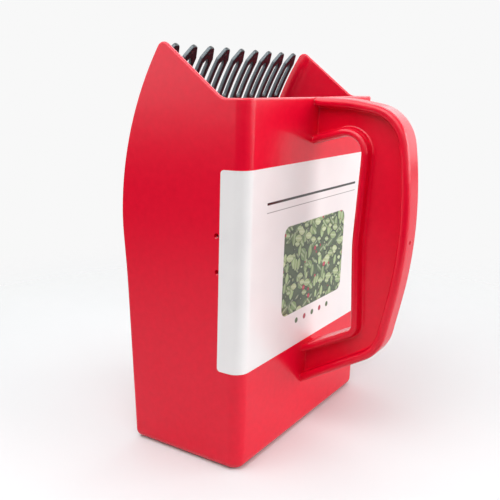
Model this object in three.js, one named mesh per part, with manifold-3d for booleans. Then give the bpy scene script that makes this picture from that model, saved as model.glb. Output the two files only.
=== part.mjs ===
// Berry picking rake: a moulded scoop with a loop grip, a comb of slotted tines riveted to the scoop's floor,
// and a thin label wrapped round the grip side. All sizes are in millimetres.
// X runs across the scoop, the grip is on the -Y side and the floor, which slides over the ground, on the +Y side.
// Z runs from the flat base up to the mouth. The origin is the centre of the base, where the rake stands.
import * as THREE from "three";
import { mergeVertices } from "three/addons/utils/BufferGeometryUtils.js";
import Module from "manifold-3d";

// Scoop
const baseWidth = 137.8;
const mouthWidth = 139;
const baseDepth = 71.4;
const mouthHeight = 190;
const wall = 2.5;
const gripWallLean = 7.2; // how far the grip wall leans out at the mouth
const floorFlare = 2.6; // how far the floor leans out where its sweep starts
const sweepStart = 118.7; // height at which the floor starts to curve in
const sweepRadius = 162.2;
const gripCorner = 7; // upright edges beside the grip
const floorCorner = 3; // upright edges beside the floor
const baseEdge = 5;
const leastCorner = 0.5;

// Cheeks: the pointed tops of the side walls
const cheekFoot = 14.9; // along the mouth, from the grip wall to the foot of the slanted edge
const cheekAngle = THREE.MathUtils.degToRad(38.5);
const cheekFillet = 8;
const cheekTip = 4;

// Comb
const tineCount = 9; // with equal gaps between them and beside the cheeks
const tineWidth = 9.5;
const slotWidth = 3.9;
const slotLength = 21.6;
const slotFootRise = 0.8; // from the mouth's edge up to the foot of the slots
const shoulderRise = 21.2; // from the foot of the slots to the tines' shoulders
const flankAngle = THREE.MathUtils.degToRad(25.9); // half the angle of a tine's point
const apexRadius = 1.2;
const tipThickness = 2.2;
const tineRootThickness = 3.2;
const lipHeight = 132; // top edge of the floor, which the comb laps
const joggleRise = 8.5; // height over which the comb steps out above the lip
const gapFootRise = 9.2; // from the lip up to the foot of the gaps between tines
const combLap = 32; // how far the comb's root plate reaches down inside the floor
const combRootThickness = 2.4;
const combRootChamfer = 1.2;
const combSideGap = 0.4;

// Loop grip
const gripWidth = 15;
const gripWeb = 3;
const gripReach = 61.5; // from the grip wall, at the base, to the back of the grip
const gripFoot = 28; // underside of the lower arm where it leaves the wall
const outerFlange = 4.7;
const innerFlange = 4.1;
const gripEdge = 1.6;
const webFillet = 1;
const topArmBend = 80;
const topCorner = 23;
const backBend = 230;
const footCorner = 24;
const holeTopCorner = 8.8;
const holeBackBend = 101;
const holeFootCorner = 4.6;
// Corners of the grip's two outlines before rounding, as shares of the reach from the wall and of the height
// from gripFoot to the mouth. The first and the last of each lie inside the scoop, whose hollow trims them.
const gripOuterShares = [
  [-0.0935, 1.0032],
  [0.443, 0.995],
  [0.923, 0.9605],
  [1.053, 0.599],
  [0.801, 0.1704],
  [-0.0935, -0.0235],
];
const gripHoleShares = [
  [-0.0935, 0.832],
  [0.568, 0.896],
  [0.497, 0.53],
  [0.516, 0.2377],
  [-0.0935, 0.1204],
];

// Small holes through the side walls
const sideHoleRadius = 1.15;
const sideHoleInset = 11.4; // from the grip wall, at the base
const sideHoleLow = 106.3;
const sideHoleSpacing = 18.4;

// Rivets, under every other tine, and their washers
const rivetCount = 5;
const rivetDrop = 17; // below the lip
const rivetRadius = 1.6;
const rivetHeadRadius = 3.6;
const rivetHeadHeight = 1.4;
const rivetTailRadius = 2.6;
const rivetTailHeight = 1.1;
const washerRadius = 4;
const washerThickness = 0.8;

// Label
const labelLow = 54.5;
const labelHigh = 157;
const labelReturn = 15; // from the grip wall to the label's upright edges on the side walls
const labelCorner = 1.8;
const labelFilm = 0.25;

// Clearances, overruns and facets
const seat = 0.3; // between pieces that rest on each other
const overrun = 4; // of a cutter past the surface that it leaves
const weld = 0.001;
const sweepSteps = 14;
const cornerSteps = 5;
const curveSteps = 8;
const roundSteps = 16;

const alongX = new THREE.Vector3(1, 0, 0);
const alongY = new THREE.Vector3(0, 1, 0);
const alongZ = new THREE.Vector3(0, 0, 1);
const quarterTurn = Math.PI / 2;

const wasm = await Module();
wasm.setup();

// A closed geometry as a solid that can be cut and joined.
function solid(geometry) {
  geometry.deleteAttribute("normal");
  geometry.deleteAttribute("uv");
  const merged = mergeVertices(geometry, weld);
  const vertProperties = merged.attributes.position.array;
  const triVerts = new Uint32Array(merged.index.array);
  return new wasm.Manifold(new wasm.Mesh({ numProp: 3, vertProperties, triVerts }));
}

// A closed solid through rings with equal numbers of points, from the lowest ring to the highest.
function loft(rings) {
  const count = rings[0].length;
  const top = (rings.length - 1) * count;
  const faces = [];
  for (let i = 1; i < count - 1; i++) {
    faces.push(0, i + 1, i, top, top + i, top + i + 1);
  }
  for (let start = 0; start < top; start += count) {
    for (let i = 0; i < count; i++) {
      const a = start + i;
      const b = start + ((i + 1) % count);
      faces.push(a, b, b + count, a, b + count, a + count);
    }
  }
  const geometry = new THREE.BufferGeometry().setFromPoints(rings.flat());
  geometry.setIndex(faces);
  return solid(geometry);
}

// An outline drawn as (y, z), extruded along X between two places, with its edges rounded by a radius.
function acrossX(outline, from, to, edge = 0) {
  const geometry = new THREE.ExtrudeGeometry(outline, {
    depth: to - from - 2 * edge,
    curveSegments: curveSteps,
    bevelEnabled: edge > 0,
    bevelThickness: edge,
    bevelSize: edge,
    bevelOffset: -edge,
    bevelSegments: 3,
  });
  geometry.translate(0, 0, from + edge);
  geometry.applyMatrix4(new THREE.Matrix4().makeBasis(alongY, alongZ, alongX));
  return solid(geometry);
}

// Points of a path through corners that radii round, moved to its left by a shift. The ends stay sharp.
function roundedPoints(corners, radii, shift = 0) {
  const left = corners.slice(1).map((corner, i) => {
    const leg = corner.clone().sub(corners[i]).normalize();
    return new THREE.Vector2(-leg.y, leg.x);
  });
  const moved = corners.map((corner, i) => {
    const after = left[Math.min(i, left.length - 1)];
    const middle = left[Math.max(i - 1, 0)].clone().add(after).normalize();
    return corner.clone().addScaledVector(middle, shift / middle.dot(after));
  });
  const points = [moved[0]];
  radii.forEach((radius, i) => {
    const corner = moved[i + 1];
    const back = moved[i].clone().sub(corner).normalize();
    const ahead = moved[i + 2].clone().sub(corner).normalize();
    const side = Math.sign(ahead.cross(back));
    const half = back.angleTo(ahead) / 2;
    const round = radius - side * shift;
    const middle = back.clone().add(ahead).normalize();
    const centre = corner.clone().addScaledVector(middle, round / Math.sin(half));
    const start = corner.clone().addScaledVector(back, round / Math.tan(half));
    const turn = side * (Math.PI - 2 * half);
    for (let step = 0; step <= curveSteps; step++) {
      points.push(start.clone().rotateAround(centre, (turn * step) / curveSteps));
    }
  });
  points.push(moved[moved.length - 1]);
  return points;
}

// The scoop's faces by height
const floorLean = Math.atan(floorFlare / sweepStart);
const sweepY = baseDepth / 2 + floorFlare - sweepRadius * Math.cos(floorLean);
const sweepZ = sweepStart + sweepRadius * Math.sin(floorLean);

function halfWidth(z) {
  return (baseWidth + ((mouthWidth - baseWidth) * z) / mouthHeight) / 2;
}

function gripFace(z) {
  return -baseDepth / 2 - (gripWallLean * z) / mouthHeight;
}

// The turn of the floor's sweep at a height. Below the sweep it runs on along the straight floor.
function sweepTurn(z) {
  if (z < sweepStart) return (z - sweepStart) / Math.cos(floorLean) / sweepRadius - floorLean;
  return Math.asin((z - sweepZ) / sweepRadius);
}

// A point (y, z) on the floor's outer face, or inside it by an inset.
function floorPoint(turn, inset = 0) {
  const held = Math.max(turn, -floorLean);
  const straight = (turn - held) * sweepRadius;
  const out = new THREE.Vector2(Math.cos(held), Math.sin(held));
  const up = new THREE.Vector2(-out.y, out.x);
  const point = new THREE.Vector2(sweepY, sweepZ);
  return point.addScaledVector(out, sweepRadius - inset).addScaledVector(up, straight);
}

function floorFace(z) {
  return floorPoint(sweepTurn(z)).x;
}

// The cheeks' tip is an arc that touches the slanted edge and the sweep from inside.
const slope = new THREE.Vector2(Math.cos(cheekAngle), Math.sin(cheekAngle));
const slopeFoot = new THREE.Vector2(gripFace(mouthHeight) + cheekFoot, mouthHeight);
const tipStart = slopeFoot.clone().add(new THREE.Vector2(slope.y, -slope.x).multiplyScalar(cheekTip));
const fromSweep = tipStart.clone().sub(new THREE.Vector2(sweepY, sweepZ));
const along = fromSweep.dot(slope);
const tipReach = Math.sqrt(along ** 2 - fromSweep.lengthSq() + (sweepRadius - cheekTip) ** 2) - along;
const tipCentre = tipStart.clone().addScaledVector(slope, tipReach);
const loftTop = tipCentre.y + cheekTip + overrun;

// A rounded rectangle round the scoop at one height, grown outwards by a distance, anticlockwise from above.
function ring(z, grow) {
  const side = halfWidth(z) + grow;
  const low = gripFace(z) - grow;
  const high = floorFace(z) + grow;
  const gripRound = Math.max(gripCorner + grow, leastCorner);
  const floorRound = Math.max(floorCorner + grow, leastCorner);
  const corners = [
    [side - gripRound, low + gripRound, gripRound],
    [side - floorRound, high - floorRound, floorRound],
    [floorRound - side, high - floorRound, floorRound],
    [gripRound - side, low + gripRound, gripRound],
  ];
  return corners.flatMap(([x, y, radius], corner) => {
    const points = [];
    for (let step = 0; step <= cornerSteps; step++) {
      const turn = (corner - 1 + step / cornerSteps) * quarterTurn;
      points.push(new THREE.Vector3(x + radius * Math.cos(turn), y + radius * Math.sin(turn), z));
    }
    return points;
  });
}

// Rings from a flat foot, whose edge is rounded, up to the top of the sweep.
function scoopRings(grow, foot, edge) {
  const rings = [];
  for (let step = 0; step <= cornerSteps; step++) {
    const turn = (step / cornerSteps) * quarterTurn;
    rings.push(ring(foot + edge * (1 - Math.cos(turn)), grow - edge * (1 - Math.sin(turn))));
  }
  const sweepEnd = sweepTurn(loftTop);
  for (let step = 0; step <= sweepSteps; step++) {
    const turn = -floorLean + ((sweepEnd + floorLean) * step) / sweepSteps;
    rings.push(ring(floorPoint(turn).y, grow));
  }
  return rings;
}

// Everything below the mouth and the cheeks' edges, as one extruded outline.
function belowMouth() {
  const far = gripReach + baseDepth;
  const filletRun = cheekFillet * Math.tan(cheekAngle / 2);
  const outline = new THREE.Shape();
  outline.moveTo(-far, -overrun);
  outline.lineTo(far, -overrun);
  outline.lineTo(far, tipCentre.y);
  const tipFrom = Math.atan2(tipCentre.y - sweepZ, tipCentre.x - sweepY);
  outline.absarc(tipCentre.x, tipCentre.y, cheekTip, tipFrom, cheekAngle + quarterTurn, false);
  const filletTo = cheekAngle - quarterTurn;
  outline.absarc(slopeFoot.x - filletRun, mouthHeight + cheekFillet, cheekFillet, filletTo, -quarterTurn, true);
  outline.lineTo(-far, mouthHeight);
  return acrossX(outline, -mouthWidth, mouthWidth);
}

// The room between the side walls on the floor's side, from one height to another.
function betweenWalls(low, high, clearance) {
  const rings = [low, high].map((z) => {
    const side = halfWidth(z) - wall - clearance;
    return [
      new THREE.Vector3(-side, 0, z),
      new THREE.Vector3(side, 0, z),
      new THREE.Vector3(side, baseDepth, z),
      new THREE.Vector3(-side, baseDepth, z),
    ];
  });
  return loft(rings);
}

// Loop grip with its I-shaped section: a rounded loop with a pocket on each side of the web.
function gripLoop() {
  const place = ([reach, height]) =>
    new THREE.Vector2(-baseDepth / 2 - reach * gripReach, gripFoot + height * (mouthHeight - gripFoot));
  const outerRadii = [topArmBend, topCorner, backBend, footCorner];
  const holeRadii = [holeTopCorner, holeBackBend, holeFootCorner];
  const loopOutline = (outerInset, holeInset) =>
    new THREE.Shape([
      ...roundedPoints(gripOuterShares.map(place), outerRadii, outerInset),
      ...roundedPoints(gripHoleShares.map(place), holeRadii, -holeInset).reverse(),
    ]);
  const pocketOutline = loopOutline(outerFlange, innerFlange);
  const pocketEnd = gripWidth / 2 + overrun;
  return acrossX(loopOutline(0, 0), -gripWidth / 2, gripWidth / 2, gripEdge)
    .subtract(acrossX(pocketOutline, gripWeb / 2, pocketEnd, webFillet))
    .subtract(acrossX(pocketOutline, -pocketEnd, -gripWeb / 2, webFillet));
}

// The tines and the gaps share the width between the cheeks.
const tineGap = (mouthWidth - 2 * wall - tineCount * tineWidth) / (tineCount + 1);
const tinePitch = tineWidth + tineGap;

// Where the rivets sit on the floor's outer face: their local Y points straight out of it.
const rivetPlaces = [];
for (let i = 0; i < rivetCount; i++) {
  const place = new THREE.Object3D();
  const z = lipHeight - rivetDrop;
  place.position.set((2 * i + 1 - rivetCount) * tinePitch, floorFace(z), z);
  place.rotation.x = Math.max(sweepTurn(z), -floorLean);
  place.updateMatrix();
  rivetPlaces.push(place);
}
const rivetStack = wall + seat + combRootThickness;

function drillRivetHoles(body) {
  return rivetPlaces.reduce((drilled, place) => {
    const depth = 2 * (rivetStack + overrun);
    const bore = new THREE.CylinderGeometry(rivetRadius + seat, rivetRadius + seat, depth, roundSteps);
    return drilled.subtract(solid(bore.applyMatrix4(place.matrix)));
  }, body);
}

function drillSideHoles(body) {
  return [sideHoleLow, sideHoleLow + sideHoleSpacing].reduce((drilled, z) => {
    const length = 2 * (halfWidth(z) + overrun);
    const bore = new THREE.CylinderGeometry(sideHoleRadius, sideHoleRadius, length, roundSteps);
    bore.rotateZ(quarterTurn);
    bore.translate(0, sideHoleInset - baseDepth / 2, z);
    return drilled.subtract(solid(bore));
  }, body);
}

function scoopBody() {
  const block = loft(scoopRings(0, 0, baseEdge));
  const hollow = loft(scoopRings(-wall, wall, baseEdge - wall));
  const shell = block.add(gripLoop()).intersect(belowMouth()).subtract(hollow);
  const combWindow = betweenWalls(lipHeight, loftTop + overrun, 0);
  return drillSideHoles(drillRivetHoles(shell.subtract(combWindow)));
}

// The comb's side profile: a root plate inside the floor, a step out above the lip, and the swept tines.
function combStrip(top) {
  const foot = sweepTurn(lipHeight - combLap);
  const lap = sweepTurn(lipHeight + seat);
  const joggle = sweepTurn(lipHeight + joggleRise);
  const rootOuter = wall + seat;
  const rootInner = rootOuter + combRootThickness;
  const overLip = new THREE.Vector2(floorPoint(lap, rootOuter).x, lipHeight + seat);
  const chamferTurn = combRootChamfer / sweepRadius;
  const run = (from, to, steps, inset) =>
    Array.from({ length: steps + 1 }, (_, step) => {
      const share = step / steps;
      return floorPoint(from + (to - from) * share, inset(share));
    });
  const outline = [
    ...run(lap, top, sweepSteps, () => 0),
    ...run(top, joggle, sweepSteps, (share) => tipThickness + (tineRootThickness - tipThickness) * share),
    ...run(lap, foot + chamferTurn, cornerSteps, () => rootInner),
    floorPoint(foot, rootInner - combRootChamfer),
    ...run(foot, lap, cornerSteps, () => rootOuter),
    overLip,
  ];
  return acrossX(new THREE.Shape(outline), -baseWidth, baseWidth);
}

// The comb seen square to its sweep at the foot of the slots, drawn as (x, rise), with the slots as holes.
function combFront(apexCentre, gapFoot) {
  const gapRadius = tineGap / 2;
  const gapCentre = gapFoot + gapRadius;
  const endGap = (tineCount / 2) * tinePitch;
  const slotShoulder = slotLength - slotWidth / 2 / Math.tan(flankAngle);
  const outline = new THREE.Shape();
  outline.moveTo(-baseWidth, gapFoot);
  outline.lineTo(-baseWidth, -mouthHeight);
  outline.lineTo(baseWidth, -mouthHeight);
  outline.lineTo(baseWidth, gapFoot);
  outline.absarc(endGap, gapCentre, gapRadius, -quarterTurn, -Math.PI, true);
  for (let i = 0; i < tineCount; i++) {
    const x = endGap - (i + 0.5) * tinePitch;
    outline.lineTo(x + tineWidth / 2, shoulderRise);
    outline.absarc(x, apexCentre, apexRadius, flankAngle, Math.PI - flankAngle, false);
    outline.lineTo(x - tineWidth / 2, shoulderRise);
    const gapEnd = i < tineCount - 1 ? -Math.PI : -quarterTurn;
    outline.absarc(x - tinePitch / 2, gapCentre, gapRadius, 0, gapEnd, true);
    const slot = new THREE.Path();
    slot.absarc(x, slotWidth / 2, slotWidth / 2, -Math.PI, 0, false);
    slot.lineTo(x + slotWidth / 2, slotShoulder);
    slot.lineTo(x, slotLength);
    slot.lineTo(x - slotWidth / 2, slotShoulder);
    outline.holes.push(slot);
  }
  return outline;
}

function comb() {
  const slotTurn = sweepTurn(mouthHeight + slotFootRise);
  const gapTurn = sweepTurn(lipHeight + gapFootRise);
  const point = shoulderRise + tineWidth / 2 / Math.tan(flankAngle);
  const apexCentre = point - apexRadius / Math.sin(flankAngle);
  const top = slotTurn + Math.asin((apexCentre + apexRadius + overrun) / sweepRadius);
  const foot = floorPoint(slotTurn);
  const rise = new THREE.Vector3(0, -Math.sin(slotTurn), Math.cos(slotTurn));
  const inwards = new THREE.Vector3(0, -Math.cos(slotTurn), -Math.sin(slotTurn));
  const gapFoot = floorPoint(gapTurn).sub(foot).dot(new THREE.Vector2(rise.y, rise.z));
  const front = new THREE.ExtrudeGeometry(combFront(apexCentre, gapFoot), {
    depth: overrun + baseDepth,
    curveSegments: curveSteps,
    bevelEnabled: false,
  });
  front.translate(0, 0, -overrun);
  front.applyMatrix4(new THREE.Matrix4().makeBasis(alongX, rise, inwards).setPosition(0, foot.x, foot.y));
  const room = betweenWalls(lipHeight - combLap - overrun, loftTop + overrun, combSideGap);
  return drillRivetHoles(combStrip(top).intersect(solid(front)).intersect(room));
}

function wrapLabel() {
  const rings = (grow) => [ring(0, grow), ring(mouthHeight, grow)];
  const film = loft(rings(seat + labelFilm)).subtract(loft(rings(seat)));
  const corners = [
    new THREE.Vector2(gripFace(labelLow) - gripReach, labelLow),
    new THREE.Vector2(gripFace(labelLow) + labelReturn, labelLow),
    new THREE.Vector2(gripFace(labelHigh) + labelReturn, labelHigh),
    new THREE.Vector2(gripFace(labelHigh) - gripReach, labelHigh),
  ];
  const outline = new THREE.Shape(roundedPoints(corners, [labelCorner, labelCorner]));
  return film.intersect(acrossX(outline, -mouthWidth, mouthWidth));
}

// A rivet along its local Y, with its head seated on the floor and its formed tail over the washer.
function rivetGeometry() {
  const headFoot = seat;
  const tailTop = -(rivetStack + seat + washerThickness + seat);
  const profile = [new THREE.Vector2(0, tailTop - rivetTailHeight)];
  profile.push(new THREE.Vector2(rivetTailRadius / 2, tailTop - rivetTailHeight));
  profile.push(new THREE.Vector2(rivetTailRadius, tailTop - rivetTailHeight / 2));
  profile.push(new THREE.Vector2(rivetTailRadius, tailTop));
  profile.push(new THREE.Vector2(rivetRadius, tailTop));
  profile.push(new THREE.Vector2(rivetRadius, headFoot));
  for (let step = 0; step < cornerSteps; step++) {
    const turn = (step / cornerSteps) * quarterTurn;
    const rise = rivetHeadHeight * Math.sin(turn);
    profile.push(new THREE.Vector2(rivetHeadRadius * Math.cos(turn), headFoot + rise));
  }
  profile.push(new THREE.Vector2(0, headFoot + rivetHeadHeight));
  return new THREE.LatheGeometry(profile, roundSteps);
}

function washerGeometry() {
  const bore = rivetRadius + seat;
  const top = -(rivetStack + seat);
  const foot = top - washerThickness;
  const profile = [
    new THREE.Vector2(bore, foot),
    new THREE.Vector2(washerRadius, foot),
    new THREE.Vector2(washerRadius, top),
    new THREE.Vector2(bore, top),
    new THREE.Vector2(bore, foot),
  ];
  return new THREE.LatheGeometry(profile, roundSteps);
}

// The pieces, each a mesh of its own
const scoopRed = { color: 0xd0263a, roughness: 0.32, metalness: 0 };
const combGreen = { color: 0x1b2b2a, roughness: 0.38, metalness: 0 };
const labelWhite = { color: 0xf2efec, roughness: 0.25, metalness: 0 };
const rivetMetal = { color: 0xc9cacb, roughness: 0.3, metalness: 1 };

function piece(name, geometry, finish) {
  const mesh = new THREE.Mesh(geometry, new THREE.MeshStandardMaterial(finish));
  mesh.name = name;
  return mesh;
}

function solidPiece(name, body, finish) {
  const { vertProperties, triVerts } = body.getMesh();
  const geometry = new THREE.BufferGeometry();
  geometry.setAttribute("position", new THREE.BufferAttribute(vertProperties, 3));
  geometry.setIndex(new THREE.BufferAttribute(triVerts, 1));
  geometry.computeVertexNormals();
  return piece(name, geometry, finish);
}

const rake = new THREE.Group();
rake.add(solidPiece("scoop_body", scoopBody(), scoopRed));
rake.add(solidPiece("comb", comb(), combGreen));
rake.add(solidPiece("wrap_label", wrapLabel(), labelWhite));
rivetPlaces.forEach((place, i) => {
  const fastener = new THREE.Group();
  fastener.position.copy(place.position);
  fastener.rotation.copy(place.rotation);
  fastener.add(piece(`rivet_${i + 1}`, rivetGeometry(), rivetMetal));
  fastener.add(piece(`rivet_washer_${i + 1}`, washerGeometry(), rivetMetal));
  rake.add(fastener);
});

export default rake;
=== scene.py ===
import math

import bmesh
import bpy
from mathutils import Matrix, Vector


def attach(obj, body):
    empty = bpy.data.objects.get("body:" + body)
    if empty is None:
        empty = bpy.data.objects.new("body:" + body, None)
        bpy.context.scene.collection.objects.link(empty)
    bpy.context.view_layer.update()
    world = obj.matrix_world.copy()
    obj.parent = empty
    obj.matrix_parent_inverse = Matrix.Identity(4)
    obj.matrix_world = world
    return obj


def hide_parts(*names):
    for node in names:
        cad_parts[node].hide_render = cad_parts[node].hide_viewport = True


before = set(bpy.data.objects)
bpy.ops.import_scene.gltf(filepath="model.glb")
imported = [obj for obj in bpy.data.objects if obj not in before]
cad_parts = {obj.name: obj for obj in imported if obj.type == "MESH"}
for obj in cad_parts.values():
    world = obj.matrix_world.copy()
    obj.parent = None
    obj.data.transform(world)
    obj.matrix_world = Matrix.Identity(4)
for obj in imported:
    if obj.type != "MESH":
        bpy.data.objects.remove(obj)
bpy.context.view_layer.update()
scene = bpy.context.scene

# Camera
# A normal lens close to the rake, left of the grip side and level with the mouth, looking a little down.
# Focal length, place and turn were solved from the corners of the scoop in the photograph.
camera_place = (-0.3267, -0.21575, 0.1934)
camera_tilt = 76.73
camera_turn = -56.26
camera = bpy.data.objects.new("camera", bpy.data.cameras.new("camera"))
camera.data.sensor_width = 36
camera.data.lens = 48.77
camera.data.clip_start = 0.01
camera.data.dof.use_dof = False
camera.location = camera_place
camera.rotation_euler = (math.radians(camera_tilt), 0, math.radians(camera_turn))
scene.collection.objects.link(camera)
scene.camera = camera

# Studio
# A white sheet under the rake that fades into a white surround, and wide soft boxes round the rake, all but
# two at one distance. The strongest stands low in front on the right.
scene.view_settings.view_transform = "Standard"


def linear(code):
    """The linear colour of an sRGB hex code."""
    channels = [int(code[i:i + 2], 16) / 255 for i in (1, 3, 5)]
    return tuple(c / 12.92 if c <= 0.04045 else ((c + 0.055) / 1.055) ** 2.4 for c in channels) + (1.0,)


def node(tree, kind, settings=None, **inputs):
    """Adds a node. An input is named, or numbered after an underscore, and gets a link or a value."""
    made = tree.nodes.new(kind)
    for key, value in (settings or {}).items():
        setattr(made, key, value)
    for key, value in inputs.items():
        socket = made.inputs[int(key[1:])] if key[1:].isdigit() else made.inputs[key.replace("_", " ")]
        if isinstance(value, bpy.types.NodeSocket):
            tree.links.new(value, socket)
        else:
            socket.default_value = value
    return made


def maths(tree, operation, *values):
    """What a maths node makes of links or numbers."""
    inputs = {f"_{i}": value for i, value in enumerate(values)}
    return node(tree, "ShaderNodeMath", {"operation": operation}, **inputs).outputs[0]


def mix(tree, share, low, high):
    """A colour between two, each a hex code or a link."""
    low, high = (linear(colour) if isinstance(colour, str) else colour for colour in (low, high))
    return node(tree, "ShaderNodeMix", {"data_type": "RGBA"}, _0=share, _6=low, _7=high).outputs[2]


def material(name):
    """A new material and its empty node tree."""
    made = bpy.data.materials.new(name)
    made.use_nodes = True
    made.node_tree.nodes.clear()
    return made, made.node_tree


ring_centre = Vector((0.0, -0.02, 0.1))
ring_radius = 2.1


def softbox(name, turn, rise, width, height, power, away=ring_radius):
    """A lamp that faces the rake: turn from +X and rise in degrees, sizes in metres, power in watts."""
    light = bpy.data.lights.new(name, "AREA")
    light.shape = "RECTANGLE"
    light.size = width
    light.size_y = height
    light.energy = power
    made = bpy.data.objects.new(name, light)
    turn, rise = math.radians(turn), math.radians(rise)
    way = Vector((math.cos(turn) * math.cos(rise), math.sin(turn) * math.cos(rise), math.sin(rise)))
    made.location = ring_centre + way * away
    made.rotation_euler = (-way).to_track_quat("-Z", "Y").to_euler()
    scene.collection.objects.link(made)
    return made


softboxes = [
    softbox("right_low", -20, 18, 2.7, 1.3, 10.0),
    softbox("right_high", -20, 50, 1.9, 1.9, 12.0),
    softbox("front_right_low", -64, 15, 1.7, 1.1, 33.5),
    softbox("front_low", -100, 15, 1.9, 1.1, 4.5),
    softbox("camera_high", -147, 60, 1.9, 1.9, 3.5),
    softbox("camera_near", -150, 45, 0.9, 0.9, 4.0, 1.0),
    softbox("left_high", 170, 50, 1.9, 1.9, 4.0),
    softbox("left_near", 165, 58, 0.7, 0.7, 3.6, 0.7),
    softbox("back_left_low", 135, 15, 1.5, 1.1, 6.2),
    softbox("back_high", 90, 45, 1.9, 1.9, 8.0),
    softbox("back_right_high", 33, 50, 1.9, 1.9, 15.0),
]

# The surround is white to the camera and in reflections, and lights the rake only faintly
surround = bpy.data.worlds.new("white_surround")
surround.use_nodes = True
tree = surround.node_tree
tree.nodes.clear()
path = node(tree, "ShaderNodeLightPath")
mirrored = maths(tree, "MAXIMUM", path.outputs["Is Glossy Ray"], path.outputs["Is Transmission Ray"])
seen = maths(tree, "MAXIMUM", path.outputs["Is Camera Ray"], mirrored)
fill_light = node(tree, "ShaderNodeBackground", Color=linear("#f4f6fa"), Strength=0.02)
backdrop = node(tree, "ShaderNodeBackground", Color=linear("#f8f8f8"), Strength=1.0)
shown = node(tree, "ShaderNodeMixShader", _0=seen, _1=fill_light.outputs[0], _2=backdrop.outputs[0])
node(tree, "ShaderNodeOutputWorld", Surface=shown.outputs[0])
scene.world = surround

# The sheet has one tone for the camera and fades into the surround for it. Other rays meet a sheet that is
# pale on the right and at the back, and dark on the left and in front, where the studio was dark. Each fade
# starts and ends at distances in metres from the middle of the base: outwards, to the right, and away.
floor_reach = 4.0
floor_height = -0.0001
fade_start, fade_end = 0.16, 0.5
right_start, right_end = -0.9, 0.1
back_start, back_end = -0.42, -0.2
soft_step = {"interpolation_type": "SMOOTHSTEP"}
floor_corners = [(x * floor_reach, y * floor_reach, floor_height)
                 for x, y in ((-1, -1), (1, -1), (1, 1), (-1, 1))]
floor_mesh = bpy.data.meshes.new("white_sheet")
floor_mesh.from_pydata(floor_corners, [], [(0, 1, 2, 3)])
floor = bpy.data.objects.new("white_sheet", floor_mesh)
scene.collection.objects.link(floor)
paper, tree = material("matt white paper sheet")
where = node(tree, "ShaderNodeTexCoord")
away = node(tree, "ShaderNodeVectorMath", {"operation": "LENGTH"}, _0=where.outputs["Object"])
fade = node(tree, "ShaderNodeMapRange", soft_step, Value=away.outputs["Value"], From_Min=fade_start,
            From_Max=fade_end)
path = node(tree, "ShaderNodeLightPath")
squared_up = node(tree, "ShaderNodeMapping", Vector=where.outputs["Object"],
                  Rotation=(0, 0, math.radians(-camera_turn)))
spread = node(tree, "ShaderNodeSeparateXYZ", Vector=squared_up.outputs[0])
lit_right = node(tree, "ShaderNodeMapRange", soft_step, Value=spread.outputs["X"], From_Min=right_start,
                 From_Max=right_end)
lit_back = node(tree, "ShaderNodeMapRange", soft_step, Value=spread.outputs["Y"], From_Min=back_start,
                From_Max=back_end)
sheet_lit = maths(tree, "MULTIPLY", lit_right.outputs[0], lit_back.outputs[0])
sheet_bounce = mix(tree, sheet_lit, "#383838", "#c4c6c6")
sheet_tone = mix(tree, path.outputs["Is Camera Ray"], sheet_bounce, "#d8dadb")
gone = maths(tree, "MULTIPLY", fade.outputs[0], path.outputs["Is Camera Ray"])
white = node(tree, "ShaderNodeBsdfDiffuse", Color=sheet_tone)
clear = node(tree, "ShaderNodeBsdfTransparent")
sheet = node(tree, "ShaderNodeMixShader", _0=gone, _1=white.outputs[0], _2=clear.outputs[0])
node(tree, "ShaderNodeOutputMaterial", Surface=sheet.outputs[0])
floor.data.materials.append(paper)

# Scoop
# One deep injection moulding in glossy red polypropylene: flat base with rounded edges, grip wall, floor that
# sweeps in towards the mouth, side walls that rise to pointed cheeks. The wall is even and its free edges are
# rounded. Sizes are in millimetres from here on.
mm = 0.001
weld = 0.002
wall = 2.5
mouth = 190.0
lip = 132.0
rim = 1.1
base_half_width = 68.9
mouth_half_gain = 0.6
grip_foot = 35.7
grip_lean = 7.2
floor_foot = 35.7
grip_corner = 7.0
floor_corner = 3.0
base_edge = 5.0
inner_corner = 1.0
sweep_start = 118.7
sweep_radius = 162.2
floor_flare = 2.6
floor_lean = math.atan(floor_flare / sweep_start)
sweep_y = floor_foot + floor_flare - sweep_radius * math.cos(floor_lean)
sweep_z = sweep_start + sweep_radius * math.sin(floor_lean)
cheek_angle = math.radians(38.5)
cheek_fillet = 8.0
cheek_tip = 4.0
cheek_foot = 14.9
corner_taper = 90
least_round = 0.5
side_steps = 8
face_steps = 6
grip_corner_steps = 9
arc_steps = 5


class Skin:
    """Patches of points in millimetres. Edges that patches share are welded when the mesh is made."""

    def __init__(self):
        self.points = []
        self.faces = []

    def face(self, loop):
        first = len(self.points)
        self.points += loop
        self.faces.append(tuple(range(first, first + len(loop))))

    def grid(self, rows, closed=False):
        first = len(self.points)
        count = len(rows[0])
        for row in rows:
            self.points += row
        for i in range(len(rows) - 1):
            for j in range(count if closed else count - 1):
                a, b = first + i * count + j, first + i * count + (j + 1) % count
                self.faces.append((a, b, b + count, a + count))

    def mirror(self):
        count = len(self.points)
        self.points += [(-x, y, z) for x, y, z in self.points]
        self.faces += [tuple(i + count for i in reversed(face)) for face in self.faces]

    def mesh(self, name):
        made = bpy.data.meshes.new(name)
        made.from_pydata([(x * mm, y * mm, z * mm) for x, y, z in self.points], [], self.faces)
        work = bmesh.new()
        work.from_mesh(made)
        bmesh.ops.remove_doubles(work, verts=work.verts, dist=weld * mm)
        bmesh.ops.recalc_face_normals(work, faces=work.faces)
        work.to_mesh(made)
        work.free()
        return made

    def object(self, name):
        made = bpy.data.objects.new(name, self.mesh(name))
        scene.collection.objects.link(made)
        return made


def settle(obj):
    """Turns an object and its modifiers into a plain mesh."""
    depsgraph = bpy.context.evaluated_depsgraph_get()
    depsgraph.update()
    plain = bpy.data.meshes.new_from_object(obj.evaluated_get(depsgraph))
    plain.name = obj.name
    obj.modifiers.clear()
    obj.data = plain
    return obj


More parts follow.
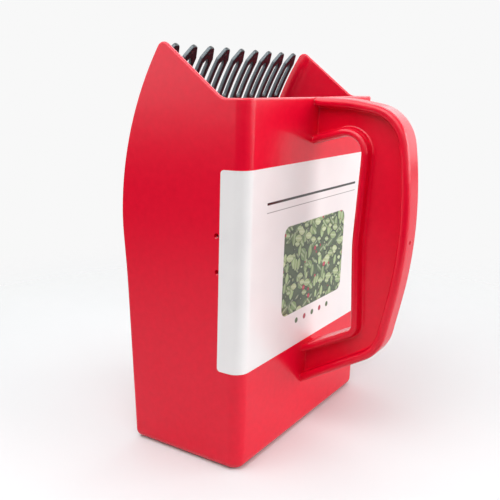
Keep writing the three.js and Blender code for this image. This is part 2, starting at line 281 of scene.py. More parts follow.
def smooth(obj, degrees=40):
    """Shades an object smooth but for edges sharper than an angle."""
    obj.data.shade_smooth()
    obj.data.set_sharp_from_angle(angle=math.radians(degrees))
    weighted = obj.modifiers.new("weighted", "WEIGHTED_NORMAL")
    weighted.keep_sharp = True
    weighted.weight = 70
    return settle(obj)


def half_width(z):
    return base_half_width + mouth_half_gain * z / mouth


def grip_face(z):
    return -grip_foot - grip_lean * z / mouth


def floor_face(z):
    if z <= sweep_start:
        return floor_foot + floor_flare * z / sweep_start
    return sweep_y + math.sqrt(sweep_radius ** 2 - (z - sweep_z) ** 2)


def turns(start, end, steps):
    """Angles from start to end, in radians from degrees."""
    return [math.radians(start + (end - start) * i / steps) for i in range(steps + 1)]


def ring(z, grow, floor_round, shelf):
    """Half an outline of the scoop at a height, from the middle of the floor to that of the grip wall."""
    side = half_width(z) + grow
    low = grip_face(z) - grow
    high = floor_face(z) + grow
    grip_round = max(grip_corner + grow, least_round)
    across = [((side - shelf) * i / face_steps, high, z) for i in range(face_steps + 1)]
    corner = [(side - floor_round + floor_round * math.sin(a),
               high - floor_round + floor_round * math.cos(a), z) for a in turns(0, 90, arc_steps)]
    start, end = high - floor_round, low + grip_round
    flank = [(side, start + (end - start) * i / side_steps, z) for i in range(side_steps + 1)]
    back = [(side - grip_round + grip_round * math.cos(a), low + grip_round - grip_round * math.sin(a), z)
            for a in turns(0, 90, grip_corner_steps)]
    back += [((side - grip_round) * (1 - i / face_steps), low, z) for i in range(1, face_steps + 1)]
    return across, corner, flank, back


def outer_ring(z, grow=0.0):
    """The outside, whose floor corners get sharper towards the lip."""
    share = min(max((z - corner_taper) / (lip - corner_taper), 0), 1)
    floor_round = floor_corner + (rim - floor_corner) * share * share * (3 - 2 * share)
    floor_round = max(floor_round + grow, least_round)
    return ring(z, grow, floor_round, wall + floor_round - rim)


def inner_ring(z, grow=0.0):
    return ring(z, grow - wall, inner_corner, inner_corner)


def whole(parts):
    across, corner, flank, back = parts
    return across + corner + flank[1:] + back[1:]


# The side wall's edge from the lip over the cheek's tip to the grip corner: places and outward directions
fillet_y = grip_face(mouth) + cheek_foot - cheek_fillet * math.tan(cheek_angle / 2)
slope = Vector((math.cos(cheek_angle), math.sin(cheek_angle)))
tip_start = Vector((grip_face(mouth) + cheek_foot, mouth)) + Vector((slope.y, -slope.x)) * cheek_tip
from_sweep = tip_start - Vector((sweep_y, sweep_z))
along = from_sweep.dot(slope)
tip_reach = math.sqrt(along ** 2 - from_sweep.length_squared + (sweep_radius - cheek_tip) ** 2) - along
tip = tip_start + slope * tip_reach
lip_turn = math.degrees(math.asin((lip - sweep_z) / sweep_radius))
tip_turn = math.degrees(math.atan2(tip.y - sweep_z, tip.x - sweep_y))
slant_turn = math.degrees(cheek_angle) + 90
edge_path = []
sweep_steps, tip_steps, fillet_steps = 16, 9, 7
for a in turns(lip_turn, tip_turn, sweep_steps):
    out = Vector((math.cos(a), math.sin(a)))
    edge_path.append((Vector((sweep_y, sweep_z)) + out * sweep_radius, out))
edge_path[0] = (edge_path[0][0], Vector((1, 0)))
for a in turns(tip_turn, slant_turn, tip_steps)[1:]:
    out = Vector((math.cos(a), math.sin(a)))
    edge_path.append((tip + out * cheek_tip, out))
for a in turns(slant_turn, 90, fillet_steps):
    out = Vector((math.cos(a), math.sin(a)))
    edge_path.append((Vector((fillet_y, mouth + cheek_fillet)) - out * cheek_fillet, out))


def edge_row(inset, depth):
    """The free edge of a side wall and the grip wall, moved in from its line and from the outside."""
    row = []
    for place, out in edge_path:
        y, z = place - out * inset
        row.append((half_width(z) - depth, y, z))
    return row + ring(mouth - inset, -depth, rim, rim)[3]


scoop = Skin()
base_steps = 7
base_rows = [(1 - math.cos(a), 1 - math.sin(a)) for a in turns(0, 90, base_steps)]
heights = [14, 34, 56, 78, corner_taper, 97, 104, 111, sweep_start, 123, 128, lip]
upper = [lip, 147, 162, 176]
outer_rows = [outer_ring(base_edge * up, -base_edge * back) for up, back in base_rows]
outer_rows += [outer_ring(z) for z in heights]
scoop.face(whole(outer_rows[0]))
scoop.grid([whole(row) for row in outer_rows])
outer_upper = [outer_ring(z)[3] for z in upper + [mouth - rim]]
scoop.grid(outer_upper)
inner_edge = base_edge - wall
inner_rows = [inner_ring(wall + inner_edge * up, -inner_edge * back) for up, back in base_rows]
inner_rows += [inner_ring(z) for z in heights]
scoop.face(whole(inner_rows[0]))
scoop.grid([whole(row) for row in inner_rows])
inner_upper = [inner_ring(z)[3] for z in upper + [mouth]]
scoop.grid(inner_upper)
rim_rows = [edge_row(rim * (1 - math.sin(a)), rim * (1 - math.cos(a))) for a in turns(0, 90, arc_steps)]
rim_rows.append(edge_row(0, wall))
scoop.grid(rim_rows)
count = len(edge_path)
scoop.face(outer_rows[-1][2] + [row[0] for row in outer_upper[1:]] + rim_rows[0][count - 1:0:-1])
scoop.face([rim_rows[-1][0]] + inner_rows[-1][2] + [row[0] for row in inner_upper[1:]]
           + rim_rows[-1][count - 1:0:-1])
scoop.face(outer_rows[-1][0] + inner_rows[-1][1][::-1] + inner_rows[-1][0][-2::-1])
scoop.mirror()
scoop_body = scoop.object("scoop_moulding")
crease = math.radians(50)
crease_round = 0.9
work = bmesh.new()
work.from_mesh(scoop_body.data)
weight = work.edges.layers.float.new("bevel_weight_edge")
for edge in work.edges:
    edge[weight] = 1.0 if edge.calc_face_angle_signed() > crease else 0.0
work.to_mesh(scoop_body.data)
work.free()
rounding = scoop_body.modifiers.new("rounding", "BEVEL")
rounding.limit_method = "WEIGHT"
rounding.width = crease_round * mm
rounding.segments = 3
rounding.use_clamp_overlap = False
settle(scoop_body)

# Loop grip
# Part of the same red moulding: a loop with an I-shaped section, a thin web between an outer and an inner
# flange. Its faces are crowned, its edges rounded, and its arms run into the grip wall with small fillets.
grip_half = 7.5
web_half = 1.5
outer_flange = 4.7
inner_flange = 4.1
outer_crown = (2.2, 2.8)
hole_crown = (1.6, 2.2)
flange_edge = 1.9
web_fillet = 1.3
root_fillet = 0.45
root_start = 0.03
straight_root = 9
bend_steps = 16
below_mouth = 0.1


def rounded(corners, radii):
    """Lines and arcs of a rounded path as lists of (point, left normal)."""
    corners = [Vector(c) for c in corners]
    pieces = []
    last = corners[0]
    for i, radius in enumerate(radii):
        corner = corners[i + 1]
        back = (corners[i] - corner).normalized()
        ahead = (corners[i + 2] - corner).normalized()
        half = back.angle(ahead) / 2
        centre = corner + (back + ahead).normalized() * radius / math.sin(half)
        start = corner + back * radius / math.tan(half)
        end = corner + ahead * radius / math.tan(half)
        left = Vector((back.y, -back.x))
        bend = math.copysign(math.pi - 2 * half, (-back).x * ahead.y - (-back).y * ahead.x)
        pieces.append([(last, left), (start, left)])
        curve = []
        for step in range(bend_steps + 1):
            spin = Matrix.Rotation(bend * step / bend_steps, 2)
            curve.append((centre + spin @ (start - centre), spin @ left))
        pieces.append(curve)
        last = end
    left = (corners[-1] - last).normalized()
    left = Vector((-left.y, left.x))
    pieces.append([(last, left), (corners[-1], left)])
    return pieces


def resample(points, steps):
    """Points and normals at equal distances along a line."""
    lengths = [0.0]
    for (a, _), (b, _) in zip(points, points[1:]):
        lengths.append(lengths[-1] + (b - a).length)
    made = []
    for step in range(steps + 1):
        goal = lengths[-1] * step / steps
        i = max(k for k in range(len(points) - 1) if lengths[k] <= goal + 1e-9)
        span = lengths[i + 1] - lengths[i]
        share = 0 if span < 1e-9 else (goal - lengths[i]) / span
        made.append((points[i][0].lerp(points[i + 1][0], share),
                     points[i][1].lerp(points[i + 1][1], share).normalized()))
    return made


def to_wall(place, way):
    """Slides a place along a direction onto the middle of the grip wall."""
    miss = place.x - grip_face(place.y) - wall / 2
    return place - way * miss / (way.x + grip_lean / mouth * way.y)


def rail(pieces, groups, steps):
    """Stations of an outline: those at the two roots, with their way from the wall, and those between."""
    joined = []
    for first, last in groups:
        line = []
        for piece in pieces[first:last]:
            line += piece if not line else piece[1:]
        joined.append(line)
    roots = []
    for line, at, other in ((joined[0], 0, 1), (joined[-1], -1, -2)):
        way = (line[other][0] - line[at][0]).normalized()
        foot = to_wall(line[at][0], way)
        roots.append((foot, line[at][1], way))
        line[at] = (foot + way * straight_root, line[at][1])
    middle = []
    for line, number in zip(joined, steps):
        middle += resample(line, number)[0 if not middle else 1:]
    return roots, middle


# Corners before rounding, as (distance along Y, height), and the radii that round them
outer_corners = [(-30, 190.6), (-63, 189.2), (-92.5, 183.6), (-100.43, 125), (-85, 55.6), (-30, 24.2)]
outer_radii = [80, 23, 230, 24]
hole_corners = [(-30, 162.8), (-70.7, 173.2), (-66.3, 113.9), (-67.5, 66.5), (-30, 47.5)]
hole_radii = [8.8, 101, 4.6]
steps = (9, 14, 30, 12, 9)
outer_pieces = rounded(outer_corners, outer_radii)
hole_pieces = rounded(hole_corners, hole_radii)
rails = {
    "outer": (rail(outer_pieces, ((0, 3), (3, 4), (4, 7), (7, 8), (8, 9)), steps), 1),
    "hole": (rail(hole_pieces, ((0, 1), (1, 2), (2, 5), (5, 6), (6, 7)), steps), -1),
}

# Half the section, from the outer face to the hole: outline, depth from it, place across, outward direction
crown_steps, edge_steps, web_steps = 8, 4, 8
half_section = []
for side, flange, (drop, across) in (("outer", outer_flange, outer_crown),
                                     ("hole", inner_flange, hole_crown)):
    points = [(0, 0, -1, 0)]
    for a in turns(0, 90, crown_steps):
        away = Vector((math.cos(a) / drop, math.sin(a) / across)).normalized()
        points.append((drop * (1 - math.cos(a)), grip_half - across * (1 - math.sin(a)), -away.x, away.y))
    for a in turns(0, 90, edge_steps):
        points.append((flange - flange_edge * (1 - math.sin(a)), grip_half - flange_edge * (1 - math.cos(a)),
                       math.sin(a), math.cos(a)))
    for a in turns(0, 90, web_steps):
        points.append((flange + web_fillet * (1 - math.cos(a)), web_half + web_fillet * (1 - math.sin(a)),
                       math.cos(a), math.sin(a)))
    points = [(side,) + p for p in points]
    half_section += points if side == "outer" else points[::-1]
section = half_section + [(s, d, -x, nd, -nx) for s, d, x, nd, nx in half_section[-2:0:-1]]


def grip_section(station, root=None, distance=0.0):
    """The section at a station, or at a distance from the wall at one of the two roots, where it flares."""
    flare = 0.0
    if root is not None and distance < root_fillet:
        reach = 1 - max(distance, root_start) / root_fillet
        flare = root_fillet * (1 - math.sqrt(1 - reach ** 2))
    row = []
    for side, depth, x, depth_way, x_way in section:
        (roots, middle), inward = rails[side]
        depth += flare * depth_way
        if root is None:
            place, normal = middle[station]
            spot = place + normal * inward * depth
        else:
            place, normal, way = roots[root]
            spot = to_wall(place + normal * inward * depth, way) + way * (distance + wall / 2)
        row.append((x + flare * x_way, spot.x, min(spot.y, mouth - below_mouth)))
    return row


root_steps = (-wall / 2, root_start, 0.09, 0.18, 0.3, 0.5)
grip_rows = [grip_section(None, 0, u) for u in root_steps]
grip_rows += [grip_section(i) for i in range(sum(steps) + 1)]
grip_rows += [grip_section(None, 1, u) for u in reversed(root_steps)]
grip = Skin()
grip.grid(grip_rows, closed=True)
grip.face(grip_rows[0])
grip.face(grip_rows[-1])
loop = grip.object("loop_grip")

# Two small holes go through both side walls, and the grip's outer face has the pit of its moulding gate
side_hole = 2.8
side_hole_y = -24.3
side_hole_heights = (106.3, 124.7)
drill_length = 150
gate = Vector((-1.0, -96.7, 117.5))
gate_width = 2.6
gate_floor_share = 0.4
gate_brim_share = 0.55
gate_depth = 0.8
drill = bmesh.new()
for z in side_hole_heights:
    turned = Matrix.Translation((0, side_hole_y * mm, z * mm)) @ Matrix.Rotation(math.pi / 2, 4, "Y")
    bmesh.ops.create_cone(drill, cap_ends=True, segments=32, radius1=side_hole / 2 * mm,
                          radius2=side_hole / 2 * mm, depth=drill_length * mm, matrix=turned)
turned = Matrix.Translation(gate * mm) @ Matrix.Rotation(math.pi / 2, 4, "X")
bmesh.ops.create_cone(drill, cap_ends=True, segments=24, radius1=gate_floor_share * gate_width * mm,
                      radius2=gate_brim_share * gate_width * mm, depth=2 * gate_depth * mm, matrix=turned)
drill_mesh = bpy.data.meshes.new("moulding_drill")
drill.to_mesh(drill_mesh)
drill.free()
drill_tool = bpy.data.objects.new("moulding_drill", drill_mesh)
scene.collection.objects.link(drill_tool)
for tool, operation in ((loop, "UNION"), (drill_tool, "DIFFERENCE")):
    cut = scoop_body.modifiers.new(operation.lower(), "BOOLEAN")
    cut.operation = operation
    cut.solver = "MANIFOLD"
    cut.object = tool
settle(scoop_body)
for tool in (loop, drill_tool):
    bpy.data.objects.remove(tool)
smooth(scoop_body)

# Glossy injection-moulded polypropylene, dyed red: an even saturated red with wide soft highlights. IOR 1.46
# is a little under the usual 1.49, to match the faint reflections on its sides. Tone and gloss vary over 3 mm,
# and the skin has a very shallow flow waviness 9 mm long and a grain of 0.5 mm. Scales are 1 / size in metres.
tone_scale, flow_scale, grain_scale = 300.0, 110.0, 1900.0
plastic, tree = material("glossy moulded red polypropylene")
spot = node(tree, "ShaderNodeTexCoord").outputs["Object"]
cloud = node(tree, "ShaderNodeTexNoise", Vector=spot, Scale=tone_scale, Detail=3.0, Roughness=0.6)
tone = mix(tree, cloud.outputs["Fac"], "#d60228", "#e8042d")
gloss = node(tree, "ShaderNodeMapRange", Value=cloud.outputs["Fac"], To_Min=0.19, To_Max=0.26)
flow = node(tree, "ShaderNodeTexNoise", Vector=spot, Scale=flow_scale, Detail=1.0)
grain = node(tree, "ShaderNodeTexNoise", Vector=spot, Scale=grain_scale, Detail=2.0)
waves = node(tree, "ShaderNodeBump", Strength=0.12, Distance=0.0004, Height=flow.outputs["Fac"])
skin = node(tree, "ShaderNodeBump", Strength=0.05, Distance=0.00004, Height=grain.outputs["Fac"],
            Normal=waves.outputs[0])
shader = node(tree, "ShaderNodeBsdfPrincipled", Base_Color=tone, Roughness=gloss.outputs[0], IOR=1.46,
              Normal=skin.outputs[0])
node(tree, "ShaderNodeOutputMaterial", Surface=shader.outputs[0])
scoop_body.data.materials.clear()
scoop_body.data.materials.append(plastic)
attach(scoop_body, "root")
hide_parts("scoop_body")

# Comb
# A separate dark green-black nylon moulding riveted inside the floor. Nine tines follow the floor's sweep,
# each a hairpin with a long slot and a pointed tip, and the gaps between them end in round feet. It is drawn
# flat, as distances across and along the sweep from the foot of the slots, and then bent.
tine_count = 9
tine_pitch = 14.35
tine_half = 4.75
gap_radius = 2.425
slot_half = 1.95
slot_length = 23.4
shoulder = 22.9
flank = math.radians(25.9)
apex_radius = 2.3
tip_thickness = 2.2
root_thickness = 3.2
plate_thickness = 2.4
plate_gap = 0.1
plate_seat = wall + plate_gap
slot_foot_rise = 0.8
slot_turn = math.asin((mouth + slot_foot_rise - sweep_z) / sweep_radius)
comb_half_width = 66.4
comb_edge = 0.7
nominal = 2.8
plate_foot_height = 100
lap_rise = 0.3
joggle_rise = 8.5
gap_foot_rise = 9.2


def comb_s(z):
    """Distance along the sweep from the foot of the slots to a height."""
    if z < sweep_start:
        return (z - sweep_start) / math.cos(floor_lean) + sweep_radius * (-floor_lean - slot_turn)
    return sweep_radius * (math.asin((z - sweep_z) / sweep_radius) - slot_turn)


plate_foot = comb_s(plate_foot_height)
lap = comb_s(lip + lap_rise)
joggle = comb_s(lip + joggle_rise)
gap_foot = comb_s(lip + gap_foot_rise)
pitch_half = tine_pitch / 2
point = shoulder + tine_half / math.tan(flank)
apex = point - apex_radius / math.sin(flank)


def arc(centre, radius, start, end, steps, out=1):
    """Arc points with directions away from the material. With out -1 the material is outside the arc."""
    made = []
    for a in turns(start, end, steps):
        way = Vector((math.cos(a), math.sin(a)))
        made.append((Vector(centre) + way * radius, way * out))
    return made


flank_deg = math.degrees(flank)
shoulder_round = 1.5
shoulder_centre = (tine_half - shoulder_round, shoulder - shoulder_round * math.tan(flank / 2))
slot_top_round = 0.9
slot_top_rise = 0.3
slot_shoulder_round = 0.8
slot_top = slot_length - slot_top_round / math.sin(flank) + slot_top_rise
slot_flank = (slot_half - slot_top_round * math.cos(flank)) / math.tan(flank)
slot_shoulder = slot_top + slot_top_round * math.sin(flank) - slot_flank
outer_path = arc((0, apex), apex_radius, 90, flank_deg, 5)
outer_path += arc(shoulder_centre, shoulder_round, flank_deg, 0, 3)
outer_path += arc((pitch_half, gap_foot + gap_radius), gap_radius, 180, 270, 8, -1)
slot_path = arc((0, slot_half), slot_half, -90, 0, 8, -1)
slot_path += arc((slot_half - slot_shoulder_round, slot_shoulder), slot_shoulder_round, 0, flank_deg, 2, -1)
slot_path += arc((0, slot_top), slot_top_round, flank_deg, 90, 4, -1)
foot_path = [(Vector((pitch_half, plate_foot)), Vector((0, -1))), (Vector((0, plate_foot)), Vector((0, -1)))]
edge_profile = [(comb_edge * (1 - math.sin(a)), comb_edge * (1 - math.cos(a))) for a in turns(0, 90, 3)]
edge_profile += [(inset, nominal - depth) for inset, depth in reversed(edge_profile)]
row_pitch = 3.0
lap_cut = 0.02


def flat_row(path, inset, depth):
    """A path moved into the material and down from the outer face."""
    return [(place.x - way.x * inset, place.y - way.y * inset, depth) for place, way in path]


def bend(mesh):
    """Bends a flat mesh, drawn as (across, along, depth), onto the sweep with its real thickness."""
    for vertex in mesh.vertices:
        x, s, depth = (c / mm for c in vertex.co)
        if s > lap:
            outer = 0.0
            if s > joggle:
                share = min((s - joggle) / (point - joggle), 1)
                inner = root_thickness + (tip_thickness - root_thickness) * share
            else:
                share = (s - lap) / (joggle - lap)
                inner = plate_seat + plate_thickness + (root_thickness - plate_seat - plate_thickness) * share
        else:
            outer = plate_seat
            inner = plate_seat + plate_thickness
        inset = outer + (inner - outer) * depth / nominal
        turn = slot_turn + s / sweep_radius
        held = max(turn, -floor_lean)
        out = Vector((math.cos(held), math.sin(held)))
        up = Vector((-out.y, out.x))
        spot = Vector((sweep_y, sweep_z)) + out * (sweep_radius - inset) + up * (turn - held) * sweep_radius
        vertex.co = Vector((x, spot.x, spot.y)) * mm


def comb_mesh(name, skin):
    """Cuts a flat part of the comb into rows and bends it."""
    made = skin.mesh(name)
    work = bmesh.new()
    work.from_mesh(made)
    places = [plate_foot + 2, lap - lap_cut, lap + lap_cut, joggle] + [i * row_pitch for i in range(-30, 11)]
    for s in places:
        everything = work.verts[:] + work.edges[:] + work.faces[:]
        bmesh.ops.bisect_plane(work, geom=everything, dist=1e-7, plane_co=(0, s * mm, 0), plane_no=(0, 1, 0))
    work.to_mesh(made)
    work.free()
    bend(made)
    return made


tine = Skin()
for depth in (0, nominal):
    outline = flat_row(outer_path, comb_edge, depth) + flat_row(foot_path, comb_edge, depth)
    outline += flat_row(slot_path, comb_edge, depth)
    tine.face(outline)
for path_points in (outer_path, slot_path, foot_path):
    tine.grid([flat_row(path_points, inset, depth) for inset, depth in edge_profile])
tine.mirror()
tine_part = bpy.data.objects.new("comb_tine", comb_mesh("comb_tine", tine))

margin = comb_half_width - tine_count * pitch_half
end_corner = 0.7
end_path = [(Vector((0, gap_foot)), Vector((0, 1)))]
end_path += arc((margin - end_corner, gap_foot - end_corner), end_corner, 90, 0, 3)
end_path += arc((margin - end_corner, plate_foot + end_corner), end_corner, 0, -90, 3)
end_path += [(Vector((0, plate_foot)), Vector((0, -1)))]
end_strip = Skin()
for depth in (0, nominal):
    end_strip.face(flat_row(end_path, comb_edge, depth))
end_strip.grid([flat_row(end_path, inset, depth) for inset, depth in edge_profile])
end_part = bpy.data.objects.new("comb_end", comb_mesh("comb_end", end_strip))

# The round mark of an ejector pin stands a little proud of each tine, above its slot
mark_radius = 1.25
mark_top_radius = 1.05
mark_height = 0.5
mark_sunk = 0.13
mark_rise = 2.0
mark = bmesh.new()
bmesh.ops.create_cone(mark, cap_ends=True, segments=24, radius1=mark_radius * mm,
                      radius2=mark_top_radius * mm, depth=mark_height * mm)
mark_mesh = bpy.data.meshes.new("ejector_mark")
mark.to_mesh(mark_mesh)
mark.free()
mark_s = slot_length + mark_rise
mark_turn = slot_turn + mark_s / sweep_radius
mark_inset = tip_thickness + (root_thickness - tip_thickness) * (point - mark_s) / (point - joggle) - mark_sunk
mark_place = Vector((0, sweep_y + (sweep_radius - mark_inset) * math.cos(mark_turn),
                     sweep_z + (sweep_radius - mark_inset) * math.sin(mark_turn))) * mm
mark_mesh.transform(Matrix.Translation(mark_place) @ Matrix.Rotation(mark_turn + math.pi / 2, 4, "X"))
mark_part = bpy.data.objects.new("ejector_mark", mark_mesh)


def repeat_tree(name, inputs):
    """A geometry node group with a geometry output and the named inputs, each as (name, type)."""
    group = bpy.data.node_groups.new(name, "GeometryNodeTree")
    group.interface.new_socket("Geometry", in_out="OUTPUT", socket_type="NodeSocketGeometry")
    for label, kind in inputs:
        group.interface.new_socket(label, in_out="INPUT", socket_type=kind)
    return group


def run_tree(group, name, values):
    """Runs a node group with the given inputs and keeps its result as a plain mesh."""
    holder = bpy.data.objects.new(name, bpy.data.meshes.new(name))
    scene.collection.objects.link(holder)
    modifier = holder.modifiers.new("repeat", "NODES")
    modifier.node_group = group
    for item in group.interface.items_tree:
        if item.in_out == "INPUT":
            modifier[item.identifier] = values[item.name]
    holder.update_tag()
    return settle(holder)


# Green-black nylon, IOR 1.53. The wide faces get a near-black painted shade and the narrow sides of the tines
# a greyer
# painted light and sheen: lit and shaded copies of one nylon, picked by the way a face turns. Faint streaks
# 0.7 mm wide and 8 mm long run along them, and the tone varies over some 6 mm.
streak_scale = (1400.0, 1400.0, 120.0)
nylon_tone_scale = 180.0
nylon, tree = material("satin moulded green-black nylon")
spot = node(tree, "ShaderNodeTexCoord").outputs["Object"]
stretched = node(tree, "ShaderNodeMapping", Vector=spot, Scale=streak_scale)
streaks = node(tree, "ShaderNodeTexNoise", Vector=stretched.outputs[0], Scale=1.0, Detail=2.0)
cloud = node(tree, "ShaderNodeTexNoise", Vector=spot, Scale=nylon_tone_scale, Detail=2.0)
facing = node(tree, "ShaderNodeSeparateXYZ", Vector=node(tree, "ShaderNodeNewGeometry").outputs["Normal"])
sideways = maths(tree, "ABSOLUTE", facing.outputs["X"])
# Share of painted light and sheen, growing as a face turns across towards X: the sides of the tines, not the
# wide faces
matt = node(tree, "ShaderNodeMapRange", soft_step, Value=sideways, From_Min=0.45, From_Max=0.9)
# Near black as painted shade on the wide faces, grey as painted light and sheen on the sides, both for one
# green-black nylon
shaded_front_tone = mix(tree, cloud.outputs["Fac"], "#131a1f", "#192127")
lit_side_tone = mix(tree, cloud.outputs["Fac"], "#525f65", "#5e6c72")
tone = mix(tree, matt.outputs[0], shaded_front_tone, lit_side_tone)
gloss = node(tree, "ShaderNodeMapRange", Value=streaks.outputs["Fac"], To_Min=0.28, To_Max=0.4)
skin = node(tree, "ShaderNodeBump", Strength=0.08, Distance=0.00003, Height=streaks.outputs["Fac"])
shader = node(tree, "ShaderNodeBsdfPrincipled", Base_Color=tone, Roughness=gloss.outputs[0], IOR=1.53,
              Normal=skin.outputs[0])
node(tree, "ShaderNodeOutputMaterial", Surface=shader.outputs[0])

# One tine, one end strip and one mark are repeated across the comb and welded to one moulding
group = repeat_tree("tines across the comb", [
    ("Tine", "NodeSocketObject"), ("End", "NodeSocketObject"), ("Mark", "NodeSocketObject"),
    ("Count", "NodeSocketInt"), ("Pitch", "NodeSocketFloat"), ("Material", "NodeSocketMaterial")])
given = node(group, "NodeGroupInput").outputs
reach = maths(group, "MULTIPLY", given["Count"], given["Pitch"])
start = maths(group, "MULTIPLY", maths(group, "SUBTRACT", reach, given["Pitch"]), -0.5)
start_at = node(group, "ShaderNodeCombineXYZ", X=start)
step_by = node(group, "ShaderNodeCombineXYZ", X=given["Pitch"])
line = node(group, "GeometryNodeMeshLine", {"mode": "OFFSET"}, Count=given["Count"],
            Start_Location=start_at.outputs[0], Offset=step_by.outputs[0])
parts = []
for wanted in ("Tine", "Mark"):
    source = node(group, "GeometryNodeObjectInfo", Object=given[wanted])
    placed = node(group, "GeometryNodeInstanceOnPoints", Points=line.outputs[0],
                  Instance=source.outputs["Geometry"])
    parts.append(placed.outputs[0])
side_at = maths(group, "MULTIPLY", reach, 0.5)
for way in (1.0, -1.0):
    source = node(group, "GeometryNodeObjectInfo", Object=given["End"])
    place = node(group, "ShaderNodeCombineXYZ", X=maths(group, "MULTIPLY", side_at, way))
    moved = node(group, "GeometryNodeTransform", Geometry=source.outputs["Geometry"],
                 Translation=place.outputs[0], Scale=(way, 1.0, 1.0))
    turned = moved.outputs[0]
    if way < 0:
        turned = node(group, "GeometryNodeFlipFaces", Mesh=moved.outputs[0]).outputs[0]
    parts.append(turned)
together = node(group, "GeometryNodeJoinGeometry")
for part in parts:
    group.links.new(part, together.inputs[0])
real = node(group, "GeometryNodeRealizeInstances", Geometry=together.outputs[0])
welded = node(group, "GeometryNodeMergeByDistance", Geometry=real.outputs[0], Distance=weld * mm)
coated = node(group, "GeometryNodeSetMaterial", Geometry=welded.outputs[0], Material=given["Material"])
node(group, "NodeGroupOutput", Geometry=coated.outputs[0])
comb = run_tree(group, "tine_comb", {
    "Tine": tine_part, "End": end_part, "Mark": mark_part, "Count": tine_count, "Pitch": tine_pitch * mm,
    "Material": nylon})
smooth(comb)
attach(comb, "root")
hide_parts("comb")

# Label
# A glossy white film glued round the grip wall and 14 mm of each side wall. It carries a leaf and berry
# pattern in a round-cornered field, two rules above it and a row of small discs below.
label_low = 54.5
label_high = 157.0
label_return = 14.3
label_round = 1.8
film_gap = 0.03
film = 0.12
label_rows = 12


def label_spot(z, u, out):
    """A point on the label's surface, u millimetres round from the middle of the grip wall."""
    side = half_width(z) + out
    low = grip_face(z) - out
    radius = grip_corner + out
    flat = half_width(z) - grip_corner
    round_length = grip_corner * math.pi / 2
    sign = 1 if u >= 0 else -1
    u = abs(u)
    if u <= flat:
        return (sign * u, low, z)
    if u <= flat + round_length:
        a = (u - flat) / grip_corner
        return (sign * (flat + radius * math.sin(a)), low + radius * (1 - math.cos(a)), z)
    return (sign * side, low + radius + u - flat - round_length, z)


def border(rows):
    """The points round a grid of rows, in order."""
    return rows[0] + [r[-1] for r in rows[1:]] + rows[-1][-2::-1] + [r[0] for r in rows[-2:0:-1]]


def label_reach(z):
    """Distance round from the middle of the grip wall to the label's end, which has rounded corners."""
    miss = label_round - min(z - label_low, label_high - z, label_round)
    end = half_width(z) - grip_corner + grip_corner * math.pi / 2 + label_return - grip_corner
    return end - label_round + math.sqrt(label_round ** 2 - miss ** 2)


label_heights = [label_low + label_round * (1 - math.cos(a)) for a in turns(0, 90, 4)]
label_heights += [label_low + (label_high - label_low) * i / label_rows for i in range(1, label_rows)]
label_heights += [label_high - label_round * (1 - math.sin(a)) for a in turns(0, 90, 4)]
# Columns as shares of that distance, close together where the film turns round the grip corner
label_shares = [0, 0.25, 0.5, 0.7, 0.77] + [0.785 + 0.15 * i / 10 for i in range(11)] + [0.97, 0.99, 1.0]
label_columns = [-s for s in label_shares[:0:-1]] + label_shares
label_skin = Skin()
borders = []
for out in (film_gap + film, film_gap):
    rows = []
    for z in label_heights:
        edge = label_reach(z)
        rows.append([label_spot(z, edge * share, out) for share in label_columns])
    label_skin.grid(rows)
    borders.append(border(rows))
label_skin.grid(borders, closed=True)
label = label_skin.object("wrapped_label")

# The label's own coordinates, in units of 100 mm: round from the middle of the grip wall, up from the base
sheet_unit = 100
drawn = label.data.uv_layers.new(name="label_sheet")
for corner_loop in label.data.loops:
    x, y, z = (c / mm for c in label.data.vertices[corner_loop.vertex_index].co)
    side = half_width(z)
    flat = side - grip_corner
    low = grip_face(z)
    if abs(x) <= flat:
        u = abs(x)
    elif y < low + grip_corner:
        u = flat + grip_corner * math.atan2(abs(x) - flat, low + grip_corner - y)
    else:
        u = flat + grip_corner * math.pi / 2 + y - low - grip_corner
    drawn.data[corner_loop.index].uv = (math.copysign(u, x) / sheet_unit, z / sheet_unit)
smooth(label)

# White polypropylene film, IOR 1.5, printed and varnished: a clean white, with broad soft highlights over it
# and over the print alike.
label_film, tree = material("glossy white polypropylene label film")
sheet_uv = node(tree, "ShaderNodeUVMap", {"uv_map": "label_sheet"}).outputs[0]


def box_mask(tree, centre, half, round_by, soft):
    """1 inside a round-cornered box in the label's coordinates, 0 outside."""
    shifted = node(tree, "ShaderNodeVectorMath", {"operation": "SUBTRACT"}, _0=sheet_uv, _1=centre)
    folded = node(tree, "ShaderNodeVectorMath", {"operation": "ABSOLUTE"}, _0=shifted.outputs[0])
    core = (half[0] - round_by, half[1] - round_by, 0)
    past = node(tree, "ShaderNodeVectorMath", {"operation": "SUBTRACT"}, _0=folded.outputs[0], _1=core)
    kept = node(tree, "ShaderNodeVectorMath", {"operation": "MAXIMUM"}, _0=past.outputs[0], _1=(0, 0, 0))
    reach = node(tree, "ShaderNodeVectorMath", {"operation": "LENGTH"}, _0=kept.outputs[0])
    return node(tree, "ShaderNodeMapRange", Value=reach.outputs["Value"], From_Min=round_by,
                From_Max=round_by - soft).outputs[0]


picture_centre = (0.03, 0.995, 0)
picture_half = (0.35, 0.25, 0)
picture_corner = 0.05
print_edge = 0.004
field = box_mask(tree, picture_centre, picture_half, picture_corner, print_edge)
ground_cloud = node(tree, "ShaderNodeTexNoise", Vector=sheet_uv, Scale=9.0, Detail=4.0)
shade = mix(tree, ground_cloud.outputs["Fac"], "#36432e", "#58694a")

